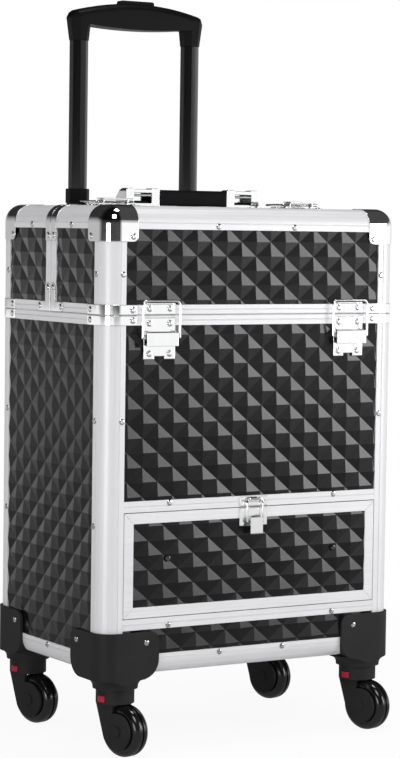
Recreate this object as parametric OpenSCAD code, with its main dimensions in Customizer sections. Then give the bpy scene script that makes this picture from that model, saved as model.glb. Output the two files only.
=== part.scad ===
// Rolling makeup case with a drawer, a two-part upper section, swing-arm trays and a pull handle.
// Millimetres. Origin on the floor under the middle of the case, +X right, +Y to the back, +Z up.

/* [Case] */
// width of the case over its aluminium frame
case_w = 360; // [350:1:372]
// depth of the case over its aluminium frame
case_d = 238; // [232:1:244]
// height of the underside of the case above the floor
ride_h = 83; // [82.5:0.5:88]
// height of the panel under the drawer
strip_h = 26; // [22:1:32]
// height of the drawer opening
bay_h = 110; // [104:1:120]
// height of the lower front panel
body_win_h = 180; // [168:1:196]
// height of the upper panels
lid_win_h = 77; // [77:1:90]

/* [Frame] */
// outer rounding of the frame profiles
corner_r = 18; // [16:0.5:19]
// leg width of the posts and top profiles
leg = 24; // [22:0.5:27]
// leg width of the bottom ring
base_leg = 22; // [21.5:0.5:25]
// thickness of the outer flange
skin = 2; // [1.8:0.1:2.4]
// thickness of the inner flange
flange_t = 1.2; // [1:0.1:1.4]
// thickness of a wall panel
panel_t = 3; // [2.6:0.1:3.4]
// height of a rail at the seam
seam_rail = 10.5; // [10:0.5:12]
// height of a rail at the drawer
drawer_rail = 11.5; // [11:0.5:13]
// depth of the slots that hold the panels in the rails
slot_in = 4; // [3:0.5:5]
// width of the fine line along each profile
line_w = 0.9; // [0.6:0.1:1.2]
// depth of the fine line along each profile
line_d = 0.4; // [0.2:0.1:0.5]

/* [Diamond panels] */
// half width of a diamond on the front, back and roof
cell_w = 18; // [16:0.5:20]
// half width of a diamond on the sides
cell_side = 16.4; // [15:0.2:18]
// half height of a diamond
cell_h = 15.1; // [14:0.1:17]
// height of a diamond's tip above its panel
relief_h = 1.8; // [1:0.1:1.8]

/* [Chrome fittings] */
// thickness of the pressed chrome fittings
trim_t = 0.8; // [0.6:0.1:1]
// reach of a corner fitting along each edge
cap_reach = 37; // [36:0.5:39]
// distance of a fitting's rivet from the corner
cap_rivet = 31.5; // [30:0.5:32]
// diameter of a rivet head
rivet_d = 6.4; // [5.6:0.2:6.8]
// height of a rivet head
rivet_h = 1.1; // [0.8:0.1:1.2]

/* [Latches] */
// distance of the latches from the sides of the case
latch_in = 63; // [62:1:68]
// width of a latch plate
latch_w = 37; // [35:1:38]
// thickness of the latch plates
plate_t = 1; // [0.8:0.1:1]
// diameter of the bail wire
wire_d = 2.4; // [2:0.1:2.4]
// height of the lever's pivot over the surface
pivot_w = 4.5; // [4.4:0.1:5]

/* [Drawer] */
// wall thickness of the drawer box
box_t = 4; // [3:0.5:5]
// room behind the drawer box
box_back = 18; // [15:1:28]
// width of the bars round the drawer front
bar_w = 11; // [10:0.5:12]

/* [Arms and trays] */
// distance of the rear arms' far pivots from the middle of the case
arm_back = 6.8; // [6.6:0.2:9]
// angle of the closed arms below the level
arm_tilt = 5; // [4:0.5:6]
// width of a swing arm
arm_w = 10; // [9:0.5:11]
// thickness of a swing arm
arm_t = 2.5; // [2:0.1:2.5]
// radius of the arm pins
pin_r = 2.4; // [2:0.1:2.5]
// height of a tray
tray_h = 38; // [32:1:39]
// wall thickness of a tray
tray_t = 2.4; // [2:0.2:3]

/* [Trolley] */
// distance of the tubes from the middle of the case
tube_x = 72; // [66:1:78]
// distance of the tube centres behind the back wall
tube_back = 24.5; // [23:0.5:28]
// width of an inner tube
tube_w = 19; // [18:0.5:20]
// depth of an inner tube
tube_d = 21; // [20:0.5:22]
// cut of an inner tube's four edges
tube_cut = 6; // [5:0.5:6.5]
// how far the inner tubes stand out of the collars
drawn = 165; // [150:5:190]
// height of the pull grip's arch over the ends of its tubes
grip_h = 44; // [41:0.5:47]

/* [Casters] */
// distance of the swivels from the sides of the case
caster_in_x = 28; // [27:0.5:30]
// distance of the swivels from the front and the back of the case
caster_in_y = 21; // [20:0.5:23]
// radius of a wheel
wheel_r = 27; // [25:0.5:27.5]
// width of a wheel
wheel_w = 20; // [18:0.5:21]
// distance the wheel trails behind its swivel
trail = 15; // [13:0.5:17]
// direction of the trailing wheels, from +X towards +Y
trail_dir = -74; // [-180:1:180]

/* [Hidden] */
// smoothness of the round shapes
$fn = 48;
// half width and half depth of the case
hw = case_w / 2;
hd = case_d / 2;
// thickness of a wall over both flanges
wall = skin + panel_t + flange_t;
// clearance of a panel edge in its slot
fit = 0.3;
// clearance between moving pieces
run = 0.5;
// clearance of a pin in its hole
bore_fit = 0.1;
// overlap used by cutting tools
eps = 1;
// levels from the floor up
z_base = ride_h;
z_strip = z_base + base_leg;
z_rail = z_strip + strip_h;
z_bay = z_rail + drawer_rail;
z_bay_top = z_bay + bay_h;
z_win = z_bay_top + drawer_rail;
z_win_top = z_win + body_win_h;
z_seam = z_win_top + seam_rail;
z_lid_win = z_seam + seam_rail;
z_lid_top = z_lid_win + lid_win_h;
z_top = z_lid_top + leg;
// edge of a panel held in a post or ring profile
edge_in = corner_r + fit;
// half gap between the front and back halves of the upper section
mid_gap = 0.6;
// width of the rails along the middle of the upper section
mid_rail = 10.4;
// play under the opening half
lid_gap = 0.4;
// how far the upper posts and the front profile reach into the top corners
corner_lap = (leg - corner_r) / 2;
// depth of the spot faces under screw heads
spot = 0.3;
// depth and height of the shadow line along the seam
rebate = 0.7;
// thickness of the web between a profile's flanges
web_t = 1.4;
// place of the fine line across a rail, as a share of its width
line_at = 0.45;
// distance of the latches from the middle of the case
latch_x = hw - latch_in;
// distance of a rivet from the inner edge of its profile
rivet_in = 3.6;
// places of the rivets along the frame, as shares of its half width and half depth
rail_rivet = 0.567;
base_rivet = 0.217;
top_rivet = 0.261;
side_rivet = 0.37;
// heights of the rivets on the posts
low_rivet_z = z_bay + 0.87 * bay_h;
mid_rivet_z = z_win + 0.456 * body_win_h;
high_rivet_z = z_lid_win + 0.4 * lid_win_h;
// one tip of each panel's relief, across and up from the window's corner or middle line
tip_front = [-8, 155];
tip_strip = [4.7, 3.9];
tip_side = [12, 167];
tip_back = [0, 155];
tip_drawer = [0, 38];
tip_lid = [0.3, 35];
tip_lid_side = [55, 36];

alu = [0.82, 0.83, 0.84];
black = [0.07, 0.07, 0.08];
chrome = [0.75, 0.76, 0.78];
steel = [0.6, 0.6, 0.62];
plastic = [0.1, 0.1, 0.11];
board = [0.16, 0.15, 0.15];
red = [0.7, 0.12, 0.2];

// Shared sections and placements

// rounded quarter seen along an edge, its legs running inward from the origin
module round_corner(la, lb, r) {
    translate([r, 0])
        square([la - r, lb]);
    translate([0, r])
        square([la, lb - r]);
    intersection() {
        translate([r, r])
            circle(r);
        square([r, r]);
    }
}

// corner profile with a panel slot in each leg
module corner_section(la, lb) {
    difference() {
        round_corner(la, lb, corner_r);
        translate([skin, skin])
            round_corner(la, lb, corner_r - skin);
        translate([corner_r - line_w, -eps])
            square([line_w, eps + line_d]);
        translate([-eps, corner_r - line_w])
            square([eps + line_d, line_w]);
    }
    translate([corner_r - web_t, skin])
        square([web_t, panel_t + flange_t]);
    translate([skin, corner_r - web_t])
        square([panel_t + flange_t, web_t]);
    translate([corner_r - web_t, skin + panel_t])
        square([la - corner_r + web_t, flange_t]);
    translate([skin + panel_t, corner_r - web_t])
        square([flange_t, lb - corner_r + web_t]);
}

// flat rail, depth along x from the outside, height along y, slot open at y = 0
module rail_section(h, slot) {
    difference() {
        square([wall, h]);
        translate([skin, -eps])
            square([panel_t, slot_in + fit + eps]);
        translate([-eps, h * line_at])
            square([eps + line_d, line_w]);
        if (slot)
            translate([-eps, h - rebate])
                square([eps + rebate, rebate + eps]);
    }
}

// places a piece drawn for the front left corner at any of the four corners
module at_corner(sx, sy) {
    translate([sx * hw, sy * hd, 0])
        mirror([sx > 0 ? 1 : 0, 0, 0])
            mirror([0, sy > 0 ? 1 : 0, 0])
                children();
}

// section with x along +Y and y along +Z, run along +X from x0 to x1
module along_x(x0, x1) {
    translate([x0, 0, 0])
        rotate([90, 0, 90])
            linear_extrude(x1 - x0)
                children();
}

// section with x along +X and y along +Z, run along Y from y0 to y1
module along_y(y0, y1) {
    translate([0, y1, 0])
        rotate([90, 0, 0])
            linear_extrude(y1 - y0)
                children();
}

// surface placements, z pointing out of the named face
module on_front(x, z, w) {
    translate([x, -hd - w, z])
        rotate([90, 0, 0])
            children();
}

module on_back(x, z, w) {
    translate([x, hd + w, z])
        rotate([90, 0, 180])
            children();
}

module on_side(s, y, z, w) {
    translate([s * (hw + w), y, z])
        rotate([90, 0, s * 90])
            children();
}

module on_top(x, y, w) {
    translate([x, y, z_top + w])
        children();
}

// blind rivet head with the hollow of its pulled pin
module rivet() {
    r = rivet_d / 2;
    rotate_extrude()
        polygon([[0, 0], [r, 0], [r * 0.95, rivet_h * 0.4], [r * 0.72, rivet_h * 0.85],
            [r * 0.5, rivet_h], [r * 0.32, rivet_h], [r * 0.3, rivet_h * 0.55], [0, rivet_h * 0.55]]);
}

// Diamond relief: tips where the sum of the cell numbers is even, valleys between
module relief_field(cu, cv, i0, i1, j0, j1, pu, pv) {
    nu = i1 - i0;
    nv = j1 - j0;
    row = nu + 1;
    tops = [for (j = [j0:j1]) for (i = [i0:i1])
        [pu + i * cu, pv + j * cv, abs(i + j) % 2 == 0 ? relief_h : 0]];
    base = [for (c = [[i0, j0], [i1, j0], [i1, j1], [i0, j1]])
        [pu + c[0] * cu, pv + c[1] * cv, -panel_t / 2]];
    b = len(tops);
    skins = [for (j = [0:nv - 1]) for (i = [0:nu - 1])
        let (a = j * row + i, e = a + 1, d = a + row, c = d + 1, even = abs(i + i0 + j + j0) % 2 == 0)
        each even ? [[a, d, e], [e, d, c]] : [[a, c, e], [a, d, c]]];
    sides = [concat([b], [for (i = [0:nu]) i], [b + 1]),
        concat([b + 2], [for (i = [nu:-1:0]) nv * row + i], [b + 3]),
        concat([b + 3], [for (j = [nv:-1:0]) j * row], [b]),
        concat([b + 1], [for (j = [0:nv]) j * row + nu], [b + 2]),
        [b, b + 1, b + 2, b + 3]];
    polyhedron(concat(tops, base), concat(skins, sides));
}

// Plate and relief window as [u0, v0, u1, v1], one tip at tip, relief cleared round the points in flats.
// Sizing the panel to its own width keeps every face of the relief a flat facet.
module relief_panel(plate, win, cu, tip, flats = []) {
    cv = cell_h;
    i0 = floor((win[0] - tip[0]) / cu);
    i1 = ceil((win[2] - tip[0]) / cu);
    j0 = floor((win[1] - tip[1]) / cv);
    j1 = ceil((win[3] - tip[1]) / cv);
    resize([plate[2] - plate[0], 0, 0]) {
        difference() {
            union() {
                translate([plate[0], plate[1], -panel_t])
                    cube([plate[2] - plate[0], plate[3] - plate[1], panel_t]);
                intersection() {
                    relief_field(cu, cv, i0, i1, j0, j1, tip[0], tip[1]);
                    translate([win[0], win[1], -panel_t])
                        cube([win[2] - win[0], win[3] - win[1], panel_t + relief_h + eps]);
                }
            }
            for (p = flats)
                translate([p[0], p[1], -spot])
                    cylinder(r = rivet_d / 2 + fit, h = spot + relief_h + eps);
        }
    }
}

// Rounded corner block of the case, its corner at the origin, grown outward by a skin
module corner_block(ex, ey, ez, grow) {
    c = corner_r;
    r = corner_r + grow;
    translate([c, c, c])
        sphere(r);
    translate([c, c, c])
        cylinder(r = r, h = ez - c);
    translate([c, c, c])
        rotate([0, 90, 0])
            cylinder(r = r, h = ex - c);
    translate([c, c, c])
        rotate([-90, 0, 0])
            cylinder(r = r, h = ey - c);
    translate([-grow, c, c])
        cube([ex + grow, ey - c, ez - c]);
    translate([c, -grow, c])
        cube([ex - c, ey + grow, ez - c]);
    translate([c, c, -grow])
        cube([ex - c, ey - c, ez + grow]);
}

// cutter that rounds one free tip of a face, drawn in the plane of that face
module tip_cut(a, b, r, depth) {
    translate([a - r, b - r, -depth])
        linear_extrude(2 * depth)
            difference() {
                square(r + eps);
                circle(r);
            }
}

// shell over a corner with rounded free tips
module corner_shell(ex, ey, ez, t, tip) {
    difference() {
        corner_block(ex, ey, ez, t);
        corner_block(ex + eps, ey + eps, ez + eps, 0);
        rotate([90, 0, 0])
            tip_cut(ex, ez, tip, 2 * t);
        rotate([90, 0, 90])
            tip_cut(ey, ez, tip, 2 * t);
        tip_cut(ex, ey, tip, 2 * t);
    }
}

// band bent round one edge of the case, corner at the origin
module strap_section(reach) {
    difference() {
        translate([-trim_t, -trim_t])
            round_corner(reach + trim_t, reach + trim_t, corner_r + trim_t);
        round_corner(reach + eps, reach + eps, corner_r);
    }
}

// band round an upright corner, at the height z
module corner_strap(z, h) {
    translate([0, 0, z])
        linear_extrude(h)
            strap_section(cap_reach);
}

// Draw latch, drawn flat: x across, y towards the keeper, z out of the surface, seam at y = 0

// thickness and radius of a pivot lug, radius of the pivot pin
lug_t = 1.2;
lug_r = 2;
pivot_r = 1;
// thickness of a lever's ears
ear_t = 1.2;

// plate with two lugs for the lever's pivot
module latch_base(wd, v0, v1, pv, lug_u, notch) {
    notch_h = 3;
    difference() {
        union() {
            translate([-wd / 2, v0, 0])
                cube([wd, v1 - v0, plate_t]);
            for (s = [-1, 1])
                translate([s * lug_u - lug_t / 2, pv, 0])
                    rotate([90, 0, 90])
                        linear_extrude(lug_t) {
                            translate([-lug_r, 0])
                                square([2 * lug_r, pivot_w]);
                            translate([0, pivot_w])
                                circle(lug_r);
                        }
        }
        translate([-lug_u - lug_t, pv, pivot_w])
            rotate([0, 90, 0])
                cylinder(r = pivot_r + bore_fit, h = 2 * (lug_u + lug_t));
        if (notch)
            translate([-wd / 6, v0 - eps, -eps])
                cube([wd / 3, notch_h + eps, plate_t + 2 * eps]);
    }
}

// plate with a curled lip for the bail
module latch_keeper(wd, v0, v1, lip_v) {
    lip_h = 1.5;
    lip_w = wd * 0.84;
    translate([-wd / 2, v0, 0])
        cube([wd, v1 - v0, plate_t]);
    translate([-lip_w / 2, lip_v - lip_h, 0])
        cube([lip_w, lip_h, plate_t + lip_h]);
}

// lever with ears on a pivot pin; the bail hangs below the pivot
module latch_lever(plate_u, ear_u, lug_u, pv, v0, foot) {
    lift = lug_r + 0.7;
    over = 0.4;
    ear_low = 1.7;
    ear_end = 2.2;
    translate([-plate_u, v0, pivot_w + lift])
        cube([2 * plate_u, pv - v0 + over, plate_t]);
    // turned-in end of the lever
    translate([-plate_u, v0, pivot_w + lift - plate_t])
        cube([2 * plate_u, plate_t, plate_t + eps / 2]);
    difference() {
        for (s = [-1, 1])
            translate([s * ear_u - ear_t / 2, pv, pivot_w])
                rotate([90, 0, 90])
                    linear_extrude(ear_t)
                        translate([-foot - ear_end, -ear_low])
                            square([foot + ear_end + over, ear_low + lift + plate_t / 2]);
        translate([-ear_u - eps, pv - foot, pivot_w])
            rotate([0, 90, 0])
                cylinder(r = wire_d / 2 + bore_fit, h = 2 * (ear_u + eps));
    }
    translate([-lug_u - lug_t / 2, pv, pivot_w])
        rotate([0, 90, 0])
            cylinder(r = pivot_r, h = 2 * lug_u + lug_t);
}

// wire loop from the lever to the keeper
module latch_bail(wire_u, ear_u, foot_v, top_v) {
    r = wire_d / 2;
    bend = 5;
    ear_half = ear_t / 2;
    translate([0, 0, pivot_w]) {
        for (s = [-1, 1]) {
            translate([s * wire_u, foot_v, 0])
                rotate([-90, 0, 0])
                    cylinder(r = r, h = top_v - bend - foot_v);
            translate([s * wire_u, foot_v, 0])
                sphere(r);
            translate([s * (ear_u - ear_half), foot_v, 0])
                rotate([0, s * 90, 0])
                    cylinder(r = r, h = wire_u - ear_u + ear_half);
            translate([s * (wire_u - bend), top_v - bend, 0])
                mirror([s < 0 ? 1 : 0, 0, 0])
                    rotate_extrude(angle = 90)
                        translate([bend, 0])
                            circle(r);
        }
        translate([bend - wire_u, top_v, 0])
            rotate([0, 90, 0])
                cylinder(r = r, h = 2 * (wire_u - bend));
    }
}

// sizes of the large latch on the front and the top, along the latch from the seam
big_v0 = -45;
big_v1 = -2.8;
big_pv = -18;
big_lever_v = -31.6;
big_foot = 5;
big_top = 14.6;
// ends of the keepers
keep_v0 = 0.8;
keep_v1 = 12.6;
// half widths of the large latch's ears, lugs and wire, and its rivets' distance from the middle
big_ear = latch_w / 2 - 4;
big_lug = latch_w / 2 - 1.9;
big_wire = latch_w / 2 + 3.5;
big_rivet = latch_w / 2 - 6.5;
// distance of a latch's rivets from the ends of its plate
big_end = 5.6;

// sizes of the drawer latch
small_w = 34;
small_v0 = -20;
small_v1 = -1.4;
small_pv = -11;
small_lever_v = -28;
small_lever = 7.6;
small_foot = 4.5;
small_top = 8.4;
small_ear = 4.6;
small_lug = 6.6;
small_wire = 9.8;

module big_base() {
    latch_base(latch_w, big_v0, big_v1, big_pv, big_lug, true);
    for (s = [-1, 1])
        for (v = [big_v0 + big_end, big_v1 - big_end])
            translate([s * big_rivet, v, plate_t])
                rivet();
}

module big_keeper() {
    latch_keeper(latch_w, keep_v0, keep_v1, keep_v1);
    for (s = [-1, 1])
        translate([s * big_rivet, (keep_v0 + keep_v1) / 2, plate_t])
            rivet();
}

module big_lever() {
    latch_lever(latch_w / 2, big_ear, big_lug, big_pv, big_lever_v, big_foot);
}

module big_bail() {
    latch_bail(big_wire, big_ear, big_pv - big_foot, big_top);
}

// Case body

module corner_posts() {
    color(alu)
        for (sx = [-1, 1])
            for (sy = [-1, 1])
                at_corner(sx, sy)
                    translate([0, 0, z_strip])
                        linear_extrude(z_seam - z_strip)
                            corner_section(leg, leg);
}

module base_frame() {
    color(alu) {
        for (sy = [-1, 1])
            mirror([0, sy > 0 ? 1 : 0, 0])
                translate([0, -hd, z_base])
                    along_x(-hw + leg, hw - leg)
                        corner_section(leg, base_leg);
        for (sx = [-1, 1])
            mirror([sx > 0 ? 1 : 0, 0, 0])
                translate([-hw, 0, z_base])
                    along_y(-hd + leg, hd - leg)
                        corner_section(leg, base_leg);
    }
}

// rail with its slot towards the panel below or above it
module rail_x(z, h, up, shadow) {
    translate([0, -hd, up ? z + h : z])
        mirror([0, 0, up ? 1 : 0])
            along_x(-hw + leg, hw - leg)
                rail_section(h, shadow);
}

module rail_y(s, y0, y1, z, h, up, shadow) {
    mirror([s > 0 ? 1 : 0, 0, 0])
        translate([-hw, 0, up ? z + h : z])
            mirror([0, 0, up ? 1 : 0])
                along_y(y0, y1)
                    rail_section(h, shadow);
}

module body_rails() {
    color(alu) {
        rail_x(z_rail, drawer_rail, false, false);
        rail_x(z_bay_top, drawer_rail, true, false);
        rail_x(z_win_top, seam_rail, false, true);
        mirror([0, 1, 0])
            rail_x(z_win_top, seam_rail, false, true);
        for (s = [-1, 1])
            rail_y(s, -hd + leg, hd - leg, z_win_top, seam_rail, false, true);
    }
}

// a panel's plate and window across the case between the posts
function plate_x(z0, z1) = [-hw + edge_in, z0, hw - edge_in, z1];
function win_x(z0, z1) = [-hw + leg, z0, hw - leg, z1];

module front_panel() {
    color(black)
        on_front(0, 0, -skin) {
            relief_panel(plate_x(z_win - slot_in, z_win_top + slot_in), win_x(z_win, z_win_top),
                cell_w, [tip_front[0], z_win + tip_front[1]]);
            relief_panel(plate_x(z_base + edge_in, z_rail + slot_in), win_x(z_strip, z_rail),
                cell_w, [tip_strip[0], z_strip + tip_strip[1]]);
        }
}

module side_panels() {
    plate = [-hd + edge_in, z_base + edge_in, hd - edge_in, z_win_top + slot_in];
    win = [-hd + leg, z_strip, hd - leg, z_win_top];
    color(black)
        for (s = [-1, 1])
            on_side(s, 0, 0, -skin)
                relief_panel(plate, win, cell_side, [s * tip_side[0], z_win + tip_side[1]]);
}

module back_panel() {
    color(black)
        on_back(0, 0, -skin)
            relief_panel(plate_x(z_base + edge_in, z_win_top + slot_in), win_x(z_strip, z_win_top),
                cell_w, [tip_back[0], z_win + tip_back[1]]);
}

// thickness and height of the deck over the drawer
deck_t = 6;
deck_z = z_bay_top + 3;

module boards() {
    color(board) {
        translate([-hw + edge_in, -hd + edge_in, z_base + skin])
            cube([case_w - 2 * edge_in, case_d - 2 * edge_in, panel_t]);
        translate([-hw + leg, -hd + wall, deck_z])
            cube([case_w - 2 * leg, case_d - 2 * wall + flange_t, deck_t]);
        for (s = [-1, 1])
            translate([s > 0 ? hw - leg : -hw + skin + panel_t, -hd + leg, deck_z])
                cube([leg - skin - panel_t, case_d - 2 * leg, deck_t]);
    }
}

module body_rivets() {
    side = leg - rivet_in;
    color(steel) {
        for (s = [-1, 1]) {
            on_front(s * hw * rail_rivet, z_bay_top + drawer_rail * 0.75, 0)
                rivet();
            on_front(s * hw * rail_rivet, z_rail + drawer_rail * 0.28, 0)
                rivet();
            on_front(s * hw * base_rivet, z_strip - rivet_in, 0)
                rivet();
            on_front(s * (hw - side), mid_rivet_z, 0)
                rivet();
            for (z = [mid_rivet_z, high_rivet_z])
                on_back(s * (hw - side), z, 0)
                    rivet();
            on_back(s * hw * rail_rivet, z_strip - rivet_in, 0)
                rivet();
            on_back(s * hw * top_rivet, z_lid_top + rivet_in, 0)
                rivet();
            on_side(s, 0, z_strip - rivet_in, 0)
                rivet();
            for (y = [-1, 1])
                for (z = [mid_rivet_z, low_rivet_z])
                    on_side(s, y * (hd - side), z, 0)
                        rivet();
            on_side(s, hd - side, high_rivet_z, 0)
                rivet();
            on_side(s, hd * side_rivet, z_lid_top + rivet_in, 0)
                rivet();
        }
        for (sx = [-1, 1])
            for (sy = [-1, 1])
                bracket_screws(sx, sy);
    }
}

// L brackets at the feet of the middle rails: reach, rise and width of their arms
ell_l = 28;
ell_h = 30;
ell_w = seam_rail - lid_gap;
// rounding of a corner cap's free tips
cap_tip = 6;

// rivets of a strap, cap and L bracket for one side and one half of the case
module fitting_rivets(s, half) {
    mid_y = half * (mid_gap + mid_rail / 2);
    for (z = half < 0 ? [z_seam + seam_rail / 2] : [z_seam + seam_rail / 2, z_seam - seam_rail / 2])
        strap_rivets(s, half, z);
    strap_rivets(s, half, z_top - cap_rivet);
    on_side(s, half * (mid_gap + ell_l - ell_w / 2), z_seam + lid_gap + ell_w / 2, trim_t)
        rivet();
    on_side(s, mid_y, z_seam + lid_gap + ell_h - mid_rail / 2, trim_t)
        rivet();
    on_side(s, mid_y, z_top - cap_rivet, trim_t)
        rivet();
}

// one rivet on each face of a corner fitting, at the height z
module strap_rivets(s, half, z) {
    on_side(s, half * (hd - cap_rivet), z, trim_t)
        rivet();
    if (half < 0)
        on_front(s * (hw - cap_rivet), z, trim_t)
            rivet();
    else
        on_back(s * (hw - cap_rivet), z, trim_t)
            rivet();
}

// L bracket at the foot of a middle rail, drawn for the left side
module l_bracket(half) {
    translate([-hw - trim_t, 0, z_seam + lid_gap])
        mirror([0, half < 0 ? 1 : 0, 0])
            translate([0, mid_gap, 0])
                rotate([90, 0, 90])
                    linear_extrude(trim_t) {
                        square([ell_l - ell_w / 2, ell_w]);
                        translate([ell_l - ell_w / 2, ell_w / 2])
                            circle(ell_w / 2);
                        square([mid_rail, ell_h - mid_rail / 2]);
                        translate([mid_rail / 2, ell_h - mid_rail / 2])
                            circle(mid_rail / 2);
                    }
}

// strap over the top edge at the end of the middle rail, drawn for the left side
module edge_strap(half) {
    y0 = half < 0 ? -mid_gap - mid_rail : mid_gap;
    translate([-hw, 0, z_top])
        mirror([0, 0, 1])
            along_y(y0, y0 + mid_rail)
                strap_section(cap_reach);
}

// all chrome corner fittings of one half of the upper section
module half_caps(half) {
    for (sx = [-1, 1]) {
        at_corner(sx, half)
            corner_strap(z_seam + lid_gap, seam_rail - lid_gap);
        at_corner(sx, half)
            translate([0, 0, z_top])
                mirror([0, 0, 1])
                    corner_shell(cap_reach, cap_reach, cap_reach, trim_t, cap_tip);
        mirror([sx > 0 ? 1 : 0, 0, 0]) {
            l_bracket(half);
            edge_strap(half);
        }
    }
}

module body_caps() {
    color(chrome) {
        half_caps(1);
        for (sx = [-1, 1])
            for (sy = [-1, 1])
                at_corner(sx, sy)
                    corner_strap(z_win_top, seam_rail - rebate);
        for (s = [-1, 1]) {
            fitting_rivets(s, 1);
            strap_rivets(s, -1, z_seam - seam_rail / 2);
        }
    }
}

// Caster corner brackets

// reach along the front, along the side and up, thickness, rounding of the free corners
br_x = 66;
br_y = 62;
br_z = 46;
br_t = 3;
br_top_r = 10;
br_low_r = 20;
// distance of the screws from the free ends and from the top
br_screw_x = 15;
br_screw_y = 13;
br_screw_z = 11;
// swivel neck over the wheel and its play
wheel_gap = 0.8;
neck_r = 20;
neck_z = 2 * wheel_r + wheel_gap;
neck_h = 14.7;
// round seat over the neck, a little behind the bracket's front
seat_z = neck_z + neck_h + run;
seat_r = caster_in_y + br_t - 0.5;
seat_fillet = z_base - seat_z - br_t - 1;
stem_r = 6;
stem_h = z_base - seat_z - 2;

// outline of a bracket's tab from the corner to its free end, the case's corner at the origin
module tab_outline(w, h) {
    translate([-br_t, -br_t])
        square([w - br_low_r + br_t, h + br_t]);
    translate([-br_t, br_low_r - br_t])
        square([w - br_top_r + br_t, h + br_t - br_low_r]);
    translate([-br_t, br_low_r - br_t])
        square([w + br_t, h + br_t - br_low_r - br_top_r]);
    translate([w - br_low_r, br_low_r - br_t])
        circle(br_low_r);
    translate([w - br_top_r, h - br_top_r])
        circle(br_top_r);
}

// plan of a bracket, the case's corner at the origin
module bracket_plan() {
    translate([-br_t, -br_t])
        round_corner(br_x + br_t, br_y + br_t, corner_r + br_t);
}

// corner plates with rounded free ends
module bracket_tabs() {
    intersection() {
        translate([0, 0, -br_t])
            linear_extrude(br_z + br_t)
                bracket_plan();
        along_y(-br_t - eps, br_y + eps)
            tab_outline(br_x, br_z);
        along_x(-br_t - eps, br_x + eps)
            tab_outline(br_y, br_z);
    }
}

// round seat that runs into the underside in a hollow fillet
module bracket_seat() {
    low = seat_z - z_base;
    f = seat_fillet;
    intersection() {
        translate([caster_in_x, caster_in_y, 0]) {
            translate([0, 0, low])
                cylinder(r = seat_r, h = -low);
            rotate_extrude()
                difference() {
                    translate([0, -br_t - f])
                        square([seat_r + f, f + br_t / 2]);
                    translate([seat_r + f, -br_t - f])
                        circle(f);
                }
        }
        translate([0, 0, low - eps])
            linear_extrude(corner_r - low + 2 * eps)
                bracket_plan();
    }
}

module caster_brackets() {
    color(plastic)
        for (sx = [-1, 1])
            for (sy = [-1, 1])
                at_corner(sx, sy)
                    translate([0, 0, z_base])
                        difference() {
                            union() {
                                bracket_tabs();
                                bracket_seat();
                            }
                            corner_block(br_x + eps, br_y + eps, br_z + eps, 0);
                            translate([caster_in_x, caster_in_y, seat_z - z_base - eps])
                                cylinder(r = stem_r + bore_fit, h = stem_h + eps);
                        }
}

// screws of one corner bracket
module bracket_screws(sx, sy) {
    z = z_base + br_z - br_screw_z;
    if (sy < 0)
        on_front(sx * (hw - br_x + br_screw_x), z, br_t)
            rivet();
    else
        on_back(sx * (hw - br_x + br_screw_x), z, br_t)
            rivet();
    on_side(sx, sy * (hd - br_y + br_screw_y), z, br_t)
        rivet();
}

// fixed latch plates on the body: front bases, drawer keeper, top keepers
module latch_plates() {
    color(chrome) {
        for (s = [-1, 1]) {
            on_front(s * latch_x, z_seam, 0)
                big_base();
            on_top(s * latch_x, 0, 0)
                big_keeper();
        }
        on_front(0, z_bay_top, 0)
            latch_keeper(small_w, keep_v0, drawer_rail - keep_v0, small_top - wire_d / 2 - fit);
    }
}

// Drawer runners: channels on the side panels

// height of the runners over the foot of the opening, their lips and their play at the ends
run_z = z_bay + 52;
run_lip = 2;
run_end = 1;
// half width of the drawer box
box_half = hw - leg - 5;
// the slide strips in the runners, which pass between the front posts
slide_t = 3;
slide_w = hw - leg - run - box_half;
slide_in = 6;

module drawer_runners() {
    depth = hw - skin - panel_t - box_half - run;
    color(steel)
        for (s = [-1, 1])
            mirror([s > 0 ? 1 : 0, 0, 0])
                translate([-hw + skin + panel_t, 0, run_z])
                    along_y(-hd + leg + run_end, hd - leg - run_end)
                        difference() {
                            square([depth, slide_t + 2 * fit + 2 * run_lip]);
                            translate([depth - slide_w - run, run_lip])
                                square([slide_w + run + eps, slide_t + 2 * fit]);
                        }
}

// Swing arm pivots: the rear arm's first pivot in y and z, the front arm set off from it

arm_y = -hd + 40.5;
arm_z = z_seam + 9.5;
arm_off = [-27.7, 16];
dir = [cos(arm_tilt), -sin(arm_tilt)];
// length of an arm between its end pivots
arm_l = (-arm_back - arm_y) / dir[0];
// thickness of the pivot plates and the air between plate and arm
plate_in = 2.3;
arm_air = 2;
// how far a pin stands out of its arm
pin_out = 0.6;
x_plate = hw - wall - fit - plate_in;
x_arm = x_plate - arm_air - arm_t;
pin_in = x_arm - pin_out;
// width of a pivot plate round its pins
body_rim = 5;
lid_rim = 6;

// pivot point at a fraction of the arm, k = 0 for the rear arm and 1 for the front arm
function pivot(f, k) = [arm_y + f * arm_l * dir[0] + k * arm_off[0],
    arm_z + f * arm_l * dir[1] + k * arm_off[1]];

// pin along X on the right side, from x0 to x1 at a pivot point
module side_pin(p, x0, x1, r) {
    translate([x0, p[0], p[1]])
        rotate([0, 90, 0])
            cylinder(r = r, h = x1 - x0);
}

module both_sides() {
    children();
    mirror([1, 0, 0])
        children();
}

module arm_plates() {
    p0 = pivot(0, 0);
    p1 = pivot(0, 1);
    color(steel)
        both_sides() {
            translate([x_plate, p1[0] - body_rim, z_win_top])
                cube([plate_in, p0[0] - p1[0] + 2 * body_rim, p1[1] + body_rim - z_win_top]);
            translate([x_plate, -hd + leg, z_win_top])
                cube([plate_in + fit, p0[0] + body_rim + hd - leg, seam_rail - eps]);
            for (p = [p0, p1])
                side_pin(p, pin_in, x_plate + eps, pin_r);
        }
}

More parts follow.
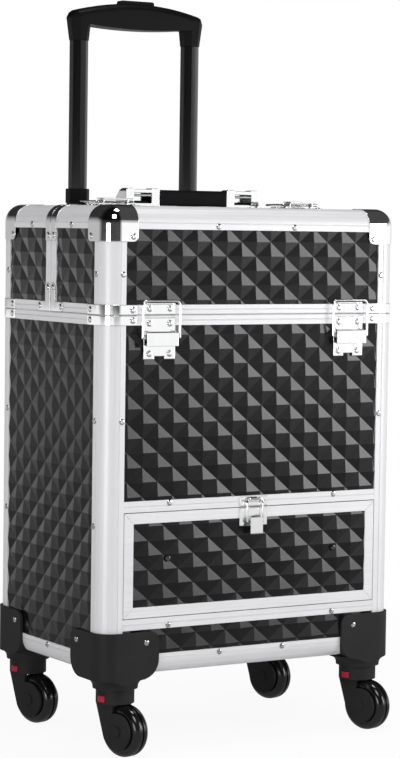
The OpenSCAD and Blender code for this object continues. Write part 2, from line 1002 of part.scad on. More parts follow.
module lid_arm_plates() {
    p0 = pivot(1, 0);
    p1 = pivot(1, 1);
    y0 = p1[0] - lid_rim;
    z0 = z_seam + lid_gap;
    color(steel)
        both_sides() {
            translate([x_plate, y0, z0])
                cube([plate_in, -mid_gap - y0, p1[1] + lid_rim - z0]);
            translate([x_plate, y0, z0])
                cube([plate_in + fit, -mid_gap - y0, seam_rail - lid_gap]);
            for (p = [p0, p1])
                side_pin(p, pin_in, x_plate + eps, pin_r);
        }
}

// one flat arm with its four pivot holes
module swing_arm(k) {
    a = pivot(0, k);
    translate([x_arm, a[0], a[1]])
        rotate([-arm_tilt, 0, 0])
            rotate([90, 0, 90])
                linear_extrude(arm_t)
                    difference() {
                        union() {
                            translate([0, -arm_w / 2])
                                square([arm_l, arm_w]);
                            circle(arm_w / 2);
                            translate([arm_l, 0])
                                circle(arm_w / 2);
                        }
                        for (f = [0, 1 / 3, 2 / 3, 1])
                            translate([f * arm_l, 0])
                                circle(pin_r + bore_fit);
                    }
}

module rear_arms() {
    color(steel)
        both_sides()
            swing_arm(0);
}

module front_arms() {
    color(steel)
        both_sides()
            swing_arm(1);
}

// Trays on the arms

// air round the trays, between them and under the lower one
tray_air = 4;
tray_low = 2;
tray_y0 = -hd + wall + tray_air;
tray_y1 = -mid_gap - mid_rail + tray_air;
tray_z = z_seam + tray_low;
// hanger tabs of the upper tray: thickness, half width and depth below the tray's edge
tab_t = 1.6;
tab_half = 5;
tab_lap = 10;
tray_x = x_arm - tab_t - 2.4;
// thickness of the floors and dividers, and how far the dividers stay below the edge
floor_t = 2;
divider_low = 8;

// open tray with two dividers
module tray(z) {
    inner = 2 * tray_x - 2 * tray_t;
    length = tray_y1 - tray_y0;
    difference() {
        translate([-tray_x, tray_y0, z])
            cube([2 * tray_x, length, tray_h]);
        translate([-tray_x + tray_t, tray_y0 + tray_t, z + floor_t])
            cube([inner, length - 2 * tray_t, tray_h]);
    }
    for (f = [-1, 1])
        translate([f * inner / 6 - floor_t / 2, tray_y0 + tray_t, z + floor_t])
            cube([floor_t, length - 2 * tray_t, tray_h - divider_low]);
}

module lower_tray() {
    color(plastic) {
        tray(tray_z);
        both_sides()
            for (k = [0, 1])
                side_pin(pivot(1 / 3, k), tray_x - tray_t, x_arm + arm_t + pin_out, pin_r);
    }
}

module upper_tray() {
    z = tray_z + tray_h + tray_air;
    tab_x = tray_x + 1.2;
    tab_top = z + tray_air + tab_lap;
    y0 = pivot(2 / 3, 1)[0] - tab_half;
    y1 = pivot(2 / 3, 0)[0] + tab_half;
    color(plastic) {
        tray(z);
        both_sides() {
            for (k = [0, 1]) {
                p = pivot(2 / 3, k);
                translate([tab_x, p[0] - tab_half, p[1] - tab_half])
                    cube([tab_t, 2 * tab_half, tab_top - p[1] + tab_half]);
                side_pin(p, tab_x, x_arm + arm_t + pin_out, pin_r);
            }
            // block that holds the tabs on the tray's side
            translate([tray_x - eps, y0, z + tray_air])
                cube([tab_x + tab_t - tray_x + eps, y1 - y0, tab_lap]);
        }
    }
}

// Upper section halves, drawn for the front half; the back half is its mirror

module half_frame(z0) {
    y1 = -mid_gap;
    for (sx = [-1, 1])
        at_corner(sx, -1)
            translate([0, 0, z0])
                linear_extrude(z_lid_top + corner_lap - z0)
                    corner_section(leg, leg);
    // top profiles
    translate([0, -hd, z_top])
        mirror([0, 0, 1])
            along_x(-hw + leg - corner_lap, hw - leg + corner_lap)
                corner_section(leg, leg);
    for (sx = [-1, 1])
        mirror([sx > 0 ? 1 : 0, 0, 0])
            translate([-hw, 0, z_top])
                mirror([0, 0, 1])
                    along_y(-hd + leg, y1)
                        corner_section(leg, leg);
    // seam rails
    half_seam(z0, y1);
    // middle rails on the sides and across the roof
    for (sx = [-1, 1])
        mirror([sx > 0 ? 1 : 0, 0, 0])
            translate([-hw, y1, z_lid_win])
                mirror([0, 1, 0])
                    linear_extrude(z_lid_top - z_lid_win)
                        mid_section();
    translate([0, y1, z_top])
        rotate([180, 0, 0])
            rotate([90, 0, 90])
                translate([0, 0, -hw + leg])
                    linear_extrude(case_w - 2 * leg)
                        rotate([0, 0, 90])
                            mirror([0, 1, 0])
                                mid_section();
}

// middle rail with its slot away from the gap, depth along x, width along y
module mid_section() {
    difference() {
        square([wall, mid_rail]);
        translate([skin, mid_rail - slot_in - fit])
            square([panel_t, slot_in + fit + eps]);
        translate([-eps, mid_rail * line_at])
            square([eps + line_d, line_w]);
    }
}

module half_seam(z0, y1) {
    h = z_lid_win - z0;
    rail_x(z0, h, true, true);
    for (s = [-1, 1])
        rail_y(s, -hd + leg, y1, z0, h, true, true);
}

module half_front(tip) {
    on_front(0, 0, -skin)
        relief_panel(plate_x(z_lid_win - slot_in, z_top - edge_in), win_x(z_lid_win, z_lid_top),
            cell_w, [tip[0], z_lid_win + tip[1]]);
}

module half_sides_roof() {
    y0 = -hd + edge_in;
    y1 = -mid_gap - mid_rail + slot_in;
    for (s = [-1, 1])
        on_side(s, 0, 0, -skin)
            relief_panel(s > 0 ? [y0, z_lid_win - slot_in, y1, z_top - edge_in]
                : [-y1, z_lid_win - slot_in, -y0, z_top - edge_in],
                s > 0 ? [-hd + leg, z_lid_win, y1 - slot_in, z_lid_top]
                : [slot_in - y1, z_lid_win, hd - leg, z_lid_top],
                cell_side, [-s * tip_lid_side[0], z_lid_win + tip_lid_side[1]]);
    on_top(0, 0, -skin)
        relief_panel([-hw + edge_in, y0, hw - edge_in, y1],
            [-hw + leg, -hd + leg, hw - leg, y1 - slot_in], cell_w, [0, -hd / 2]);
}

module rear_frame() {
    color(alu)
        mirror([0, 1, 0])
            half_frame(z_seam);
}

module rear_panels() {
    color(black)
        rotate([0, 0, 180]) {
            half_front([tip_back[0], tip_lid[1]]);
            half_sides_roof();
        }
}

module lid_frame() {
    color(alu)
        half_frame(z_seam + lid_gap);
}

module lid_panels() {
    color(black) {
        half_front(tip_lid);
        half_sides_roof();
    }
}

module lid_caps() {
    color(chrome) {
        half_caps(-1);
        for (s = [-1, 1])
            fitting_rivets(s, -1);
    }
}

module lid_rivets() {
    side = leg - rivet_in;
    color(steel)
        for (s = [-1, 1]) {
            on_front(s * (hw - side), high_rivet_z, 0)
                rivet();
            on_front(s * hw * top_rivet, z_lid_top + rivet_in, 0)
                rivet();
            on_side(s, -hd + side, high_rivet_z, 0)
                rivet();
            on_side(s, -hd * side_rivet, z_lid_top + rivet_in, 0)
                rivet();
        }
}

module lid_plates() {
    color(chrome)
        for (s = [-1, 1]) {
            on_front(s * latch_x, z_seam, 0)
                big_keeper();
            on_top(s * latch_x, 0, 0)
                big_base();
        }
}

module latch_lever_left() {
    color(chrome)
        on_front(-latch_x, z_seam, 0)
            big_lever();
}

module latch_bail_left() {
    color(chrome)
        on_front(-latch_x, z_seam, 0)
            big_bail();
}

module latch_lever_right() {
    color(chrome)
        on_front(latch_x, z_seam, 0)
            big_lever();
}

module latch_bail_right() {
    color(chrome)
        on_front(latch_x, z_seam, 0)
            big_bail();
}

module clasp_lever_left() {
    color(chrome)
        on_top(-latch_x, 0, 0)
            big_lever();
}

module clasp_bail_left() {
    color(chrome)
        on_top(-latch_x, 0, 0)
            big_bail();
}

module clasp_lever_right() {
    color(chrome)
        on_top(latch_x, 0, 0)
            big_lever();
}

module clasp_bail_right() {
    color(chrome)
        on_top(latch_x, 0, 0)
            big_bail();
}

// Drawer

// air round the drawer front, and the front's edges
dr_gap = 0.8;
dr_x = hw - leg - dr_gap;
dr_z0 = z_bay + dr_gap;
dr_z1 = z_bay_top - dr_gap;
// depth of the bars round the front
bar_d = 9;
// length of the drawer box behind its front
box_l = case_d - bar_d - wall - box_back;
// place of the two screws through the drawer front
front_screw_x = hw * 0.572;
front_screw_z = dr_z0 + bar_w + 49;
// half of the fine gap at a mitre
mitre = 0.15;

// bar of the drawer front with mitred ends, its outer edge along x
module mitre_bar(half) {
    a = half - mitre;
    linear_extrude(bar_d)
        polygon([[-a, 0], [a, 0], [a - bar_w, bar_w], [-a + bar_w, bar_w]]);
}

module drawer_frame() {
    mid_z = (dr_z0 + dr_z1) / 2;
    half_z = (dr_z1 - dr_z0) / 2;
    color(alu)
        difference() {
            on_front(0, 0, -bar_d) {
                translate([0, dr_z0, 0])
                    mitre_bar(dr_x);
                translate([0, dr_z1, 0])
                    mirror([0, 1, 0])
                        mitre_bar(dr_x);
                for (s = [-1, 1])
                    translate([s * dr_x, mid_z, 0])
                        rotate([0, 0, s * 90])
                            mitre_bar(half_z);
            }
            translate([-dr_x + bar_w - slot_in, -hd + skin, dr_z0 + bar_w - slot_in])
                cube([2 * (dr_x - bar_w + slot_in), bar_d, dr_z1 - dr_z0 - 2 * (bar_w - slot_in)]);
        }
}

module drawer_panel() {
    in = bar_w - slot_in + fit;
    color(black)
        on_front(0, 0, -skin) {
            relief_panel([-dr_x + in, dr_z0 + in, dr_x - in, dr_z1 - in],
                [-dr_x + bar_w, dr_z0 + bar_w, dr_x - bar_w, dr_z1 - bar_w],
                cell_w, [tip_drawer[0], dr_z0 + bar_w + tip_drawer[1]],
                [for (s = [-1, 1]) [s * front_screw_x, front_screw_z]]);
        }
}

module drawer_box() {
    y0 = -hd + bar_d;
    z0 = dr_z0 + bar_w - slot_in;
    h = dr_z1 - dr_z0 - 2 * bar_w;
    color(board)
        difference() {
            translate([-box_half, y0, z0])
                cube([2 * box_half, box_l, h]);
            translate([-box_half + box_t, y0 + box_t, z0 + box_t])
                cube([2 * (box_half - box_t), box_l - 2 * box_t, h]);
        }
}

module drawer_slides() {
    color(steel)
        for (s = [-1, 1])
            translate([s > 0 ? box_half : -box_half - slide_w, -hd + leg + slide_in, run_z + run_lip + fit])
                cube([slide_w, box_l + bar_d - leg - slide_in, slide_t]);
}

module drawer_plate() {
    color(chrome) {
        on_front(0, z_bay_top, 0)
            latch_base(small_w, small_v0, small_v1, small_pv, small_lug, false);
        for (s = [-1, 1])
            on_front(s * front_screw_x, front_screw_z, -skin - spot) {
                cylinder(r = rivet_d / 2, h = skin + spot);
                translate([0, 0, skin + spot])
                    rivet();
            }
    }
}

module drawer_lever() {
    color(chrome)
        on_front(0, z_bay_top, 0)
            latch_lever(small_lever, small_ear, small_lug, small_pv, small_lever_v, small_foot);
}

module drawer_bail() {
    color(chrome)
        on_front(0, z_bay_top, 0)
            latch_bail(small_wire, small_ear, small_pv - small_foot, small_top);
}

// Trolley

// middle of the tubes behind the case, walls and outer size of the tubes
tube_y = hd + tube_back;
tube_t = 1.2;
inner_t = 1.4;
out_grow = tube_t + run;
out_w = tube_w + 2 * out_grow;
out_d = tube_d + 2 * out_grow;
// collars over the tubes' upper ends
collar_h = 16;
collar_t = 1;
collar_in = 3;
collar_z = z_top + 4;
// feet and clamps that hold the tubes on the case
foot_z = z_base + 24;
foot_t = 8;
clamp_h = 20;
clamp_t = 3;
clamp_half = 12;
// length of the inner tubes and level of their upper ends
inner_l = 380;
grip_z = collar_z + collar_h + drawn;

// section of the tubes, grown all round from the outside of an inner tube
module section(grow) {
    across = (tube_w + tube_d) / 2 - tube_cut + grow * sqrt(2);
    intersection() {
        square([tube_w + 2 * grow, tube_d + 2 * grow], center = true);
        rotate(45)
            square(across * sqrt(2), center = true);
    }
}

// tube with its wall inside the given growth
module tube(grow, t, h) {
    linear_extrude(h)
        difference() {
            section(grow);
            section(grow - t);
        }
}

module trolley_tubes() {
    color(black)
        for (s = [-1, 1])
            translate([s * tube_x, tube_y, foot_z])
                tube(out_grow, tube_t, collar_z + collar_h - collar_in - foot_z);
}

// clamp round an outer tube with its block against the back wall
module tube_clamp() {
    linear_extrude(clamp_h)
        difference() {
            union() {
                square([out_w + 2 * clamp_t, out_d + 2 * clamp_t], center = true);
                translate([-clamp_half, -tube_back])
                    square([2 * clamp_half, tube_back]);
            }
            section(out_grow);
        }
}

// collars, upper clamps on the back half and lower feet on the bottom ring
module trolley_mounts() {
    color(plastic)
        for (s = [-1, 1])
            translate([s * tube_x, tube_y, 0]) {
                translate([0, 0, collar_z])
                    tube(out_grow + collar_t, collar_t, collar_h);
                for (z = [foot_z, z_lid_top])
                    translate([0, 0, z])
                        tube_clamp();
                translate([-clamp_half, -tube_back, foot_z - foot_t])
                    cube([2 * clamp_half, tube_back + out_d / 2 + clamp_t, foot_t]);
            }
}

module trolley_inner() {
    color(black)
        for (s = [-1, 1])
            translate([s * tube_x, tube_y, grip_z - inner_l])
                tube(0, inner_t, inner_l);
}

// pull grip: a socket's wall round the tube, half widths at its foot and at its shoulder outside and inside
socket_out = 0.5;
socket_half = tube_w / 2 + socket_out;
shoulder_out = 13.5;
shoulder_in = 11.2;
shoulder_z = 25;
// slope of the slanted ends, radius of the arch, level of its underside and how far that bellies out
slant = 0.944;
arch_r = 301;
under_z = 17.5;
belly = 3;
// depth at the foot and over the shoulders, rounding along the arch
socket_d = tube_d + 2 * socket_out;
grip_d = 27;
grip_round = 8;
// half span of a socket over its cut edges at its foot and at its shoulder
cut_flare = 4;
cut_low = (tube_w + tube_d) / 2 - tube_cut + socket_out * sqrt(2);
cut_high = cut_low + cut_flare;
// release button in the arch: size, depth of its well, height over the arch, travel
button_w = 43;
button_d = 10;
button_well = 9;
button_out = 3.3;
button_round = 2.5;
press = 3;

// front view of the right socket, the tubes' ends at y = 0
module socket_outline() {
    top = grip_h + eps;
    end_x = tube_x + shoulder_out;
    under_x = tube_x - socket_half - (shoulder_in - socket_half) * under_z / shoulder_z;
    polygon([[tube_x - socket_half, 0], [tube_x + socket_half, 0], [end_x, shoulder_z],
        [end_x - (top - shoulder_z) * slant, top], [under_x, top], [under_x, under_z]]);
}

// front view of the arched bar with the curve of its underside
module bar_outline() {
    top = grip_h + eps;
    top_x = tube_x + shoulder_out - (top - shoulder_z) * slant;
    side_z = shoulder_z + shoulder_out / slant;
    polygon([[-tube_x, under_z], [tube_x, under_z], [tube_x, side_z], [top_x, top], [-top_x, top],
        [-tube_x, side_z]]);
    belly_x = tube_x - shoulder_in;
    belly_r = (belly_x * belly_x + belly * belly) / (2 * belly);
    intersection() {
        translate([0, under_z - belly + belly_r])
            circle(belly_r, $fn = 8 * $fn);
        translate([-belly_x - eps, under_z - belly - eps])
            square([2 * (belly_x + eps), belly + 2 * eps]);
    }
}

// side view between two opposite cut edges of a socket
module cut_side() {
    low = cut_low / sqrt(2);
    high = cut_high / sqrt(2);
    polygon([[-low, 0], [low, 0], [high, shoulder_z], [high, grip_h + eps], [-high, grip_h + eps],
        [-high, shoulder_z]]);
}

// side view of the grip
module grip_side() {
    polygon([[-socket_d / 2, 0], [socket_d / 2, 0], [grip_d / 2, shoulder_z], [grip_d / 2, grip_h + eps],
        [-grip_d / 2, grip_h + eps], [-grip_d / 2, shoulder_z]]);
}

// disc whose rounded rim is the top of the arch
module grip_arch() {
    translate([0, 0, grip_h - arch_r])
        rotate([90, 0, 0])
            rotate_extrude($fn = 8 * $fn) {
                translate([0, -grip_d / 2])
                    square([arch_r - grip_round, grip_d]);
                translate([0, -grip_d / 2 + grip_round])
                    square([arch_r, grip_d - 2 * grip_round]);
                for (s = [-1, 1])
                    translate([arch_r - grip_round, s * (grip_d / 2 - grip_round)])
                        circle(grip_round, $fn = 24);
            }
}

// space between two opposite cut edges of the right socket
module cut_prism(turn) {
    translate([tube_x, 0, 0])
        rotate(turn)
            along_y(-2 * grip_d, 2 * grip_d)
                cut_side();
}

// right socket with its four edges cut like the tube's
module grip_socket() {
    intersection() {
        along_y(-grip_d, grip_d)
            socket_outline();
        cut_prism(45);
        cut_prism(-45);
    }
}

module trolley_grip() {
    reach = tube_x + shoulder_out + eps;
    color(plastic)
        translate([0, tube_y, grip_z])
            difference() {
                intersection() {
                    union() {
                        along_y(-grip_d, grip_d)
                            bar_outline();
                        for (m = [0, 1])
                            mirror([m, 0, 0])
                                grip_socket();
                    }
                    along_x(-reach, reach)
                        grip_side();
                    grip_arch();
                }
                translate([-button_w / 2 - run, -button_d / 2 - run, grip_h - button_well])
                    cube([button_w + 2 * run, button_d + 2 * run, button_well + eps]);
            }
}

// button with rounded ends, standing clear of its well's floor by its travel
module trolley_button() {
    h = button_well + button_out - press - run;
    r = button_round;
    color(plastic)
        translate([0, tube_y, grip_z + grip_h + button_out - h])
            along_y(-button_d / 2, button_d / 2) {
                translate([-button_w / 2, 0])
                    square([button_w, h - r]);
                translate([-button_w / 2 + r, 0])
                    square([button_w - 2 * r, h]);
                for (s = [-1, 1])
                    translate([s * (button_w / 2 - r), h - r])
                        circle(r);
            }
}

// Carry handle on the back half

// housings: distance from the clasps, size, wall, place behind the middle of the case
hs_in = 53.5;
hs_x = latch_x - hs_in;
hs_w = 42;
hs_d = 22;
hs_h = 20;
hs_t = 1.6;
hs_y = 11;
// depth of the flat top and height of the back edge, as shares
hs_flat = 0.55;
hs_back = 0.5;
// rounding of the upper corners and dip between them
hs_round = 4;
hs_dip = 1.2;
// window in the front
hs_win_w = 22;
hs_win_h = 11;
hs_win_z = 4;
// cross pin behind the window, set a little into the front wall
hs_pin_r = 1.3;
hs_pin_z = 12.4;
hs_pin_y = hs_t + hs_pin_r - 0.3;

// front view of a housing
module housing_outline() {
    difference() {
        union() {
            translate([-hs_w / 2, 0])
                square([hs_w, hs_h - hs_round]);
            translate([-hs_w / 2 + hs_round, 0])
                square([hs_w - 2 * hs_round, hs_h]);
            for (s = [-1, 1])
                translate([s * (hs_w / 2 - hs_round), hs_h - hs_round])
                    circle(hs_round);
        }
        translate([-hs_win_w / 2, hs_h - hs_dip])
            square([hs_win_w, hs_dip + eps]);
    }
}

// side view of a housing, its front at x = 0
module housing_side() {
    polygon([[0, 0], [0, hs_h], [hs_d * hs_flat, hs_h], [hs_d, hs_h * hs_back], [hs_d, 0]]);
}

// one housing, open below and towards the grip
module housing(s) {
    deep = hs_d * hs_flat - hs_t;
    high = hs_h - hs_t - hs_dip;
    difference() {
        intersection() {
            along_x(-hs_w / 2 - eps, hs_w / 2 + eps)
                housing_side();
            along_y(-eps, hs_d + eps)
                housing_outline();
        }
        translate([-hs_w / 2 + hs_t, hs_t, -eps])
            cube([hs_w - 2 * hs_t, deep, high + eps]);
        translate([s > 0 ? -hs_w / 2 - eps : hs_w / 2 - hs_t - eps, hs_t, -eps])
            cube([hs_t + 2 * eps, deep, high + eps]);
        translate([-hs_win_w / 2, -eps, hs_win_z])
            cube([hs_win_w, hs_t + 2 * eps, hs_win_h]);
    }
    translate([-hs_w / 2 + hs_t, hs_pin_y, hs_pin_z])
        rotate([0, 90, 0])
            cylinder(r = hs_pin_r, h = hs_w - 2 * hs_t);
}

module handle_housings() {
    color(chrome)
        for (s = [-1, 1])
            translate([s * hs_x, hs_y, z_top])
                housing(s);
}

// grip bar: rounding, height over the roof, hollow below, and its tongues in the housings
grip_r = 3;
grip_low = 1.5;
grip_wall = 5;
grip_hollow = 3;
tongue_l = 34;
tongue_z = 2.5;
tongue_t = 2.5;
tongue_w = 6.5;

// section of the grip bar
module grip_section() {
    h = hs_h - 2 * grip_low;
    difference() {
        union() {
            translate([grip_r, 0])
                square([hs_d - 2 * grip_r, h]);
            translate([0, grip_r])
                square([hs_d, h - 2 * grip_r]);
            for (a = [grip_r, hs_d - grip_r])
                for (b = [grip_r, h - grip_r])
                    translate([a, b])
                        circle(grip_r);
        }
        translate([grip_wall, -eps])
            square([hs_d - 2 * grip_wall, grip_hollow + eps]);
    }
}

module carry_grip() {
    half = hs_x - hs_w / 2 - run;
    color(plastic)
        translate([0, hs_y, z_top + grip_low]) {
            translate([0, -eps, 0])
                along_x(-half, half)
                    grip_section();
            for (s = [-1, 1])
                translate([s > 0 ? half - eps : -half - tongue_l, hs_pin_y + hs_pin_r + run, tongue_z])
                    cube([tongue_l + eps, tongue_w, tongue_t]);
        }
}

// Casters

// places a piece drawn with its wheel trailing along +X on one of the four swivels
module at_caster(sx, sy) {
    translate([sx * (hw - caster_in_x), sy * (hd - caster_in_y), 0])
        rotate([0, 0, trail_dir])
            children();
}

// cheeks beside the wheel: thickness, air to the wheel, outer face, rounding round the axle
cheek_t = 3.2;
cheek_air = 0.8;
cheek_v = wheel_w / 2 + cheek_air + cheek_t;
cheek_r = 19;
// axle with its end caps
axle_r = 3.5;
axle_cap_r = 6;
axle_cap_h = 1;
// release tab in the side of the neck: size, how far it stands out, travel
rel_w = 9;
rel_h = 6.6;
rel_l = 8;
rel_z = neck_z + 2;
rel_out = 1.4;
rel_travel = 2;

// point where a line from p touches a circle round c
function touch(p, c, r, side) = let (v = c - p, d = norm(v), a = atan2(v[1], v[0]) + side * asin(r / d))
    p + sqrt(d * d - r * r) * [cos(a), sin(a)];

// side view of a cheek, from the neck down to the axle
module cheek_outline() {
    chord = sqrt(neck_r * neck_r - cheek_v * cheek_v);
    top = neck_z + eps;
    c = [trail, wheel_r];
    a = [-chord, top];
    polygon([a, touch(a, c, cheek_r, -1), c, c + cheek_r * [-0.3, 0.954], [0.75 * chord, top]]);
    translate(c)
        circle(cheek_r);
}

module fork() {
    pocket = rel_l + rel_travel + run - rel_out;
    color(plastic)
        difference() {
            union() {
                translate([0, 0, neck_z])
                    cylinder(r = neck_r, h = neck_h);
                translate([0, 0, neck_z])
                    cylinder(r = stem_r, h = neck_h + stem_h);
                for (y = [-cheek_v, cheek_v - cheek_t])
                    along_y(y, y + cheek_t)
                        cheek_outline();
                translate([trail, 0, wheel_r])
                    rotate([90, 0, 0]) {
                        cylinder(r = axle_r, h = 2 * cheek_v, center = true);
                        for (s = [-1, 1])
                            translate([0, 0, s * (cheek_v + axle_cap_h / 2 - eps / 2)])
                                cylinder(r = axle_cap_r, h = axle_cap_h + eps, center = true);
                    }
            }
            translate([-rel_w / 2 - fit, -neck_r - eps, rel_z - fit])
                cube([rel_w + 2 * fit, pocket + eps, rel_h + 2 * fit]);
        }
}

// wheel with a rounded tread, a groove round its middle and dished sides
module wheel() {
    h = wheel_w / 2;
    crown = 0.35 * wheel_w;
    groove_w = 2.4;
    groove_d = 2.5;
    hub = 9;
    rim = 0.74 * wheel_r;
    dish = 1.5;
    bore = axle_r + bore_fit;
    color(black)
        translate([trail, 0, wheel_r])
            rotate([90, 0, 0])
                rotate_extrude()
                    difference() {
                        union() {
                            translate([bore, -h])
                                square([wheel_r - crown - bore, wheel_w]);
                            translate([bore, -h + crown])
                                square([wheel_r - bore, wheel_w - 2 * crown]);
                            for (s = [-1, 1])
                                translate([wheel_r - crown, s * (h - crown)])
                                    circle(crown);
                        }
                        translate([wheel_r - groove_d, -groove_w / 2])
                            square([groove_d + eps, groove_w]);
                        for (y = [-h - eps, h - dish])
                            translate([hub, y])
                                square([rim - hub, dish + eps]);
                    }
}

module release() {
    face_r = neck_r + rel_out;
    color(red)
        intersection() {
            translate([-rel_w / 2, -face_r - eps, rel_z])
                cube([rel_w, rel_l + eps, rel_h]);
            translate([0, 0, rel_z - eps])
                cylinder(r = face_r, h = rel_h + 2 * eps);
        }
}

module fork_fl() {
    at_caster(-1, -1)
        fork();
}

module fork_fr() {
    at_caster(1, -1)
        fork();
}

module fork_bl() {
    at_caster(-1, 1)
        fork();
}

module fork_br() {
    at_caster(1, 1)
        fork();
}

module wheel_fl() {
    at_caster(-1, -1)
        wheel();
}

module wheel_fr() {
    at_caster(1, -1)
        wheel();
}

module wheel_bl() {
    at_caster(-1, 1)
        wheel();
}

module wheel_br() {
    at_caster(1, 1)
        wheel();
}

module button_fl() {
    at_caster(-1, -1)
        release();
}

module button_fr() {
    at_caster(1, -1)
        release();
}

module button_bl() {
    at_caster(-1, 1)
        release();
}

module button_br() {
    at_caster(1, 1)
        release();
}

corner_posts();
base_frame();
body_rails();
front_panel();
side_panels();
back_panel();
boards();
body_rivets();
body_caps();
caster_brackets();
latch_plates();
drawer_runners();
arm_plates();
trolley_tubes();
trolley_mounts();
rear_frame();
rear_panels();
handle_housings();
lid_frame();
lid_panels();
lid_caps();
lid_rivets();
lid_plates();
lid_arm_plates();
latch_lever_left();
latch_bail_left();
latch_lever_right();
latch_bail_right();
clasp_lever_left();
clasp_bail_left();
clasp_lever_right();
clasp_bail_right();
drawer_frame();
drawer_panel();
drawer_box();
drawer_slides();
drawer_plate();
drawer_lever();
drawer_bail();
rear_arms();
front_arms();
lower_tray();
upper_tray();
trolley_inner();
trolley_grip();
trolley_button();
carry_grip();
fork_fl();
fork_fr();
fork_bl();
fork_br();
wheel_fl();
wheel_fr();
wheel_bl();
wheel_br();
button_fl();
button_fr();
button_bl();
button_br();
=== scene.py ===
import math

import bpy
from mathutils import Matrix, Vector

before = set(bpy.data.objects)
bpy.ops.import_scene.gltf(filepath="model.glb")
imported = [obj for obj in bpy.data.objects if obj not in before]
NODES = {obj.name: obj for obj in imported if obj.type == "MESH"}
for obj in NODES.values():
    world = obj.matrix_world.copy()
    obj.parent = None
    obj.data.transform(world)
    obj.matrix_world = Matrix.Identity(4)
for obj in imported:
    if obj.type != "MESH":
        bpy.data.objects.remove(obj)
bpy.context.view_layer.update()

# Camera, fitted to the straight edges of the case in a picture 758 pixels high
IMAGE_H = 758
FOCAL_PX = 2440.3
SENSOR = 36.0
EYE = Vector((-1.37556, -2.27299, 0.54362))
YAW, PITCH, ROLL = (math.radians(a) for a in (31.272, 3.533, 0.786))

# Sizes of the case that its materials follow, in metres
HALF_W, HALF_D = 0.180, 0.119   # half of its width and depth
LEG = 0.024                     # legs of the frame profiles
Z_LID_TOP = 0.542               # top of the upper section
PLATE_HALF_W = 0.03             # the drawer's studs lie further out than this

# Softened edges, in metres, and the settings of the modifiers that make them
FINE_EDGE, SMALL_EDGE, MOULDED_EDGE = 0.0004, 0.0006, 0.0008
WELD_WITHIN = 1e-6
EDGE_SEGMENTS = 2
EDGE_ANGLE = math.radians(32)
ROUNDING_SAMPLES = 6

# Textures: the band that most noise values lie in, and the scale along drawn metal
LOW, HIGH = 0.3, 0.7
DRAWN = 0.004

# Colours: the dark and the light end of each material's variation
SATIN_FINE = ((0.755, 0.75, 0.77), (0.895, 0.89, 0.91))
SATIN_BROAD = ((0.835, 0.83, 0.85), (0.895, 0.89, 0.91))
LAMINATE = ((0.005, 0.005, 0.006), (0.009, 0.009, 0.010))
PLATING = ((0.90, 0.905, 0.91), (0.95, 0.95, 0.955))
BLACKENED = ((0.08, 0.08, 0.08), (0.14, 0.14, 0.14))
STEEL = ((0.70, 0.70, 0.71), (0.82, 0.82, 0.83))
ZINC = ((0.55, 0.56, 0.58), (0.70, 0.71, 0.72))
ANODISED = ((0.004, 0.004, 0.005), (0.008, 0.008, 0.009))
TREAD = ((0.005, 0.005, 0.005), (0.010, 0.010, 0.011))
FELT = ((0.010, 0.010, 0.011), (0.030, 0.029, 0.031))
BLACK = ((0.003, 0.003, 0.004), (0.007, 0.007, 0.008))
CHARCOAL = ((0.016, 0.015, 0.015), (0.023, 0.022, 0.022))
RED = ((0.36, 0.012, 0.035), (0.44, 0.018, 0.045))
PALE = ((0.90, 0.90, 0.90), (0.92, 0.92, 0.92))
WHITE = (1, 1, 1, 1)

# The room: fill light, and the strengths that glossy surfaces mirror.
# A span is the part of a direction's X, Y or Z over which the strength changes.
FILL = 0.43
CEILING, CEILING_SPAN = 0.06, (0.05, 0.30)
ROOM_LEFT, ROOM_RIGHT, ROOM_SPAN = 0.06, 1.05, (0.24, 0.40)
BACKDROP, BACKDROP_SPAN = 0.5, (0.25, 0.7)

# The floor: its share of backdrop white, and the strengths that glossy surfaces mirror.
# A span is in metres from the middle of the case.
FLOOR_SIZE = 24.0
FLOOR_NEAR, FLOOR_FAR, FADE_SPAN = 0.93, 1.0, (0.35, 1.2)
MIRRORED_LEFT, MIRRORED_RIGHT, SIDE_SPAN = 0.28, 0.70, (0.5, 0.9)
MIRRORED_FAR, FAR_SPAN = 1.0, (1.2, 4.5)

# Lamps: name, place, width and height in metres, power in watts; all face the middle
MIDDLE = (0.0, 0.0, 0.35)
LAMPS = (
    ("key", (1.57, -1.49, 0.68), (0.75, 0.84), 11.6),
    ("front", (-0.9, -1.9, 2.2), (1.0, 1.0), 18.0),
    ("strip", (-1.9, -1.12, 0.28), (0.9, 0.56), 7.0),
    ("top", (0.2, -0.3, 2.2), (0.5, 0.5), 9.0),
)

CORNERS = ("fl", "fr", "bl", "br")


# Node helpers

def start(name):
    """A new material, its node tree and its shader."""
    mat = bpy.data.materials.new(name)
    mat.use_nodes = True
    tree = mat.node_tree
    return mat, tree, tree.nodes["Principled BSDF"]


def add(tree, kind, values=None, **settings):
    """Adds a node with its settings and socket values."""
    made = tree.nodes.new(kind)
    for key, value in settings.items():
        setattr(made, key, value)
    for key, value in (values or {}).items():
        made.inputs[key].default_value = value
    return made


def feed(tree, socket, value):
    """Sets a socket to a number, or links it to another socket."""
    if isinstance(value, (int, float)):
        socket.default_value = value
    else:
        tree.links.new(value, socket)


def place(tree, scale=(1, 1, 1), turn=(0, 0, 0)):
    """Object coordinates, scaled and turned, as a vector socket."""
    coords = add(tree, "ShaderNodeTexCoord")
    mapping = add(tree, "ShaderNodeMapping", {"Scale": scale, "Rotation": turn})
    tree.links.new(coords.outputs["Object"], mapping.inputs["Vector"])
    return mapping.outputs["Vector"]


def axes(tree):
    """Object coordinates as three separate sockets."""
    coords = add(tree, "ShaderNodeTexCoord")
    split = add(tree, "ShaderNodeSeparateXYZ")
    tree.links.new(coords.outputs["Object"], split.inputs["Vector"])
    return split.outputs


